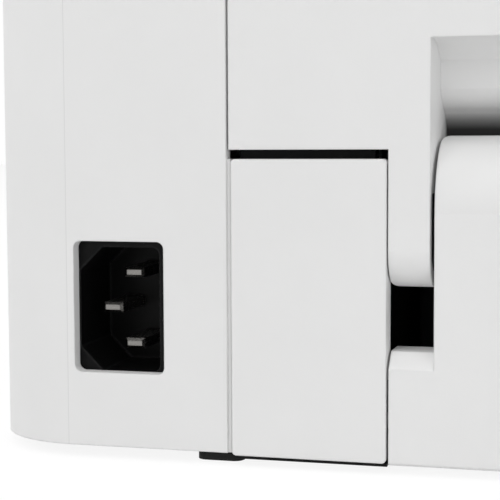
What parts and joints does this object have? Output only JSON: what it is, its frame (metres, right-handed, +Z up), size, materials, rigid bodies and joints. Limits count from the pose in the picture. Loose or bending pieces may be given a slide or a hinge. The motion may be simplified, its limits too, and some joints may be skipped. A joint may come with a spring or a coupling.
{
  "type": "laser printer",
  "caption": "Compact desktop laser printer with a hinged rear door, a drop-down front cover, a drawer cassette with coupled width guides and an output tray on top",
  "frame": {"origin": "on the surface under the feet, at the centre of the casing", "axes": "+X to the right seen from the front, +Y to the rear, +Z up"},
  "size_m": [0.38, 0.372, 0.218],
  "materials": {
    "white_casing": "fine spark-eroded grain, satin",
    "top_casing": "fine spark-eroded grain, satin",
    "black_moulding": "satin black moulding",
    "inlet_body": "satin black moulding",
    "foot_rubber": "matt",
    "sheet_steel": "galvanised sheet",
    "plated_brass": "nickel plated",
    "gloss_panel": "polished",
    "button": "satin",
    "light_pipe": "clear, frosted",
    "board": "soldermask",
    "grey_moulding": "satin grey moulding",
    "dark_moulding": "satin dark grey moulding",
    "guide_moulding": "satin, user-touch colour",
    "gear_moulding": "natural acetal",
    "pinion_brass": "hobbed",
    "roller_rubber": "ground",
    "transfer_foam": "foam",
    "drum_coating": "organic coating, glossy",
    "fuser_sleeve": "coated, satin",
    "silicone": "silicone, satin",
    "shaft_steel": "ground",
    "motor_case": "drawn steel",
    "optical_glass": "polished",
    "polygon_aluminium": "diamond turned",
    "friction_cork": "cork and rubber",
    "socket_metal": "stamped"
  },
  "bodies": {
    "casing": {"base_frame": "black_moulding", "rubber_feet": "foot_rubber", "right_side_cover": "white_casing", "left_side_cover": "white_casing", "rear_upper_cover": "white_casing", "service_panel": "white_casing", "top_cover": "top_casing", "control_panel": "gloss_panel", "light_pipes": "light_pipe", "right_side_frame": "sheet_steel", "left_side_frame": "sheet_steel", "scanner_stay": "sheet_steel", "scanner_housing": "dark_moulding", "scanner_lid": "dark_moulding", "scanner_lens": "optical_glass", "fuser_frame": "dark_moulding", "rear_paper_guide": "dark_moulding", "power_supply_board": "board", "power_inlet": "inlet_body", "inlet_pins": "plated_brass", "controller_board": "board", "usb_port": "socket_metal", "network_port": "socket_metal", "fan_frame": "dark_moulding", "drive_bracket": "sheet_steel", "drive_motor": "motor_case", "toner_cartridge": "grey_moulding"},
    "rear_door": {"rear_door": "white_casing", "rear_door_guide": "black_moulding"},
    "front_cover": {"front_cover": "white_casing", "front_cover_liner": "dark_moulding"},
    "cassette": {"cassette_tray": "grey_moulding", "cassette_front": "white_casing", "separation_pad": "friction_cork"},
    "lift_plate": {"lift_plate": "sheet_steel"},
    "right_width_guide": {"right_width_guide": "guide_moulding"},
    "left_width_guide": {"left_width_guide": "guide_moulding"},
    "guide_pinion": {"guide_pinion": "gear_moulding"},
    "length_guide": {"length_guide": "guide_moulding"},
    "output_stopper": {"output_stopper": "white_casing"},
    "power_button": {"power_button": "button"},
    "wireless_button": {"wireless_button": "button"},
    "resume_button": {"resume_button": "button"},
    "pickup_roller": {"pickup_roller": "roller_rubber", "pickup_shaft": "shaft_steel"},
    "registration_roller": {"registration_roller": "roller_rubber"},
    "transfer_roller": {"transfer_roller": "transfer_foam"},
    "exit_roller": {"exit_roller": "roller_rubber"},
    "heat_roller": {"heat_roller": "fuser_sleeve", "fuser_gear": "gear_moulding"},
    "pressure_roller": {"pressure_roller": "silicone"},
    "drum": {"photosensitive_drum": "drum_coating", "drum_gear": "gear_moulding"},
    "motor_pinion": {"motor_pinion": "pinion_brass"},
    "idler_gear": {"idler_gear": "gear_moulding"},
    "polygon_mirror": {"polygon_mirror": "polygon_aluminium"},
    "fan_rotor": {"fan_rotor": "black_moulding"}
  },
  "joints": [
    {"name": "rear_door_hinge", "type": "hinge", "parent": "casing", "child": "rear_door", "pos_m": [-0.012, 0.1812, 0.0094], "axis": [-1, 0, 0], "range_deg": [0, 85]},
    {"name": "front_cover_hinge", "type": "hinge", "parent": "casing", "child": "front_cover", "pos_m": [-0.012, -0.178, 0.072], "axis": [1, 0, 0], "range_deg": [0, 90]},
    {"name": "cassette_slide", "type": "slide", "parent": "casing", "child": "cassette", "axis": [0, -1, 0], "range_m": [0, 0.28]},
    {"name": "lift_plate_hinge", "type": "hinge", "parent": "cassette", "child": "lift_plate", "pos_m": [-0.012, -0.052, 0.0165], "axis": [-1, 0, 0], "range_deg": [0, 10]},
    {"name": "right_width_guide_slide", "type": "slide", "parent": "cassette", "child": "right_width_guide", "axis": [-1, 0, 0], "range_m": [0, 0.05]},
    {"name": "left_width_guide_slide", "type": "slide", "parent": "cassette", "child": "left_width_guide", "axis": [1, 0, 0], "range_m": [0, 0.05]},
    {"name": "guide_pinion_spin", "type": "hinge", "parent": "cassette", "child": "guide_pinion", "pos_m": [-0.012, -0.008, 0.0121], "axis": [0, 0, 1], "range_deg": [0, 290]},
    {"name": "length_guide_slide", "type": "slide", "parent": "cassette", "child": "length_guide", "axis": [0, -1, 0], "range_m": [0, 0.087]},
    {"name": "output_stopper_hinge", "type": "hinge", "parent": "casing", "child": "output_stopper", "pos_m": [-0.012, -0.1371, 0.20704], "axis": [1, 0, 0], "range_deg": [0, 110]},
    {"name": "power_button_press", "type": "slide", "parent": "casing", "child": "power_button", "axis": [0, 0, -1], "range_m": [0, 0.001], "stiffness_N_per_m": 400},
    {"name": "wireless_button_press", "type": "slide", "parent": "casing", "child": "wireless_button", "axis": [0, 0, -1], "range_m": [0, 0.001], "stiffness_N_per_m": 400},
    {"name": "resume_button_press", "type": "slide", "parent": "casing", "child": "resume_button", "axis": [0, 0, -1], "range_m": [0, 0.001], "stiffness_N_per_m": 400},
    {"name": "pickup_roller_spin", "type": "hinge", "parent": "casing", "child": "pickup_roller", "pos_m": [-0.012, -0.15, 0.068], "axis": [1, 0, 0], "continuous": true},
    {"name": "registration_roller_spin", "type": "hinge", "parent": "casing", "child": "registration_roller", "pos_m": [-0.012, -0.11, 0.07], "axis": [1, 0, 0], "continuous": true},
    {"name": "heat_roller_spin", "type": "hinge", "parent": "casing", "child": "heat_roller", "pos_m": [-0.012, 0.112, 0.0948], "axis": [1, 0, 0], "continuous": true},
    {"name": "pressure_roller_spin", "type": "hinge", "parent": "casing", "child": "pressure_roller", "pos_m": [-0.012, 0.112, 0.07], "axis": [1, 0, 0], "continuous": true},
    {"name": "drum_spin", "type": "hinge", "parent": "casing", "child": "drum", "pos_m": [-0.012, 0.01, 0.088], "axis": [1, 0, 0], "continuous": true},
    {"name": "transfer_roller_spin", "type": "hinge", "parent": "casing", "child": "transfer_roller", "pos_m": [-0.012, 0.01, 0.0687], "axis": [1, 0, 0], "continuous": true},
    {"name": "exit_roller_spin", "type": "hinge", "parent": "casing", "child": "exit_roller", "pos_m": [-0.012, 0.103, 0.191], "axis": [1, 0, 0], "continuous": true},
    {"name": "idler_gear_spin", "type": "hinge", "parent": "casing", "child": "idler_gear", "pos_m": [-0.012, 0.05948, 0.11423], "axis": [1, 0, 0], "continuous": true},
    {"name": "motor_pinion_spin", "type": "hinge", "parent": "casing", "child": "motor_pinion", "pos_m": [-0.012, 0.05948, 0.15823], "axis": [1, 0, 0], "continuous": true},
    {"name": "polygon_mirror_spin", "type": "hinge", "parent": "casing", "child": "polygon_mirror", "pos_m": [-0.012, 0.05, 0.161], "axis": [0, 0, 1], "continuous": true},
    {"name": "fan_rotor_spin", "type": "hinge", "parent": "casing", "child": "fan_rotor", "pos_m": [-0.1822, -0.08, 0.12], "axis": [1, 0, 0], "continuous": true}
  ],
  "couplings": [
    {"joint": "left_width_guide_slide", "follows": "right_width_guide_slide", "ratio": 1},
    {"joint": "guide_pinion_spin", "follows": "right_width_guide_slide", "rad_per_m": 100},
    {"joint": "pressure_roller_spin", "follows": "heat_roller_spin", "ratio": -1.0417},
    {"joint": "idler_gear_spin", "follows": "heat_roller_spin", "ratio": -0.55556},
    {"joint": "motor_pinion_spin", "follows": "heat_roller_spin", "ratio": 2.5},
    {"joint": "drum_spin", "follows": "heat_roller_spin", "ratio": 1},
    {"joint": "transfer_roller_spin", "follows": "heat_roller_spin", "ratio": -1.7143},
    {"joint": "exit_roller_spin", "follows": "heat_roller_spin", "ratio": 1.7857}
  ]
}
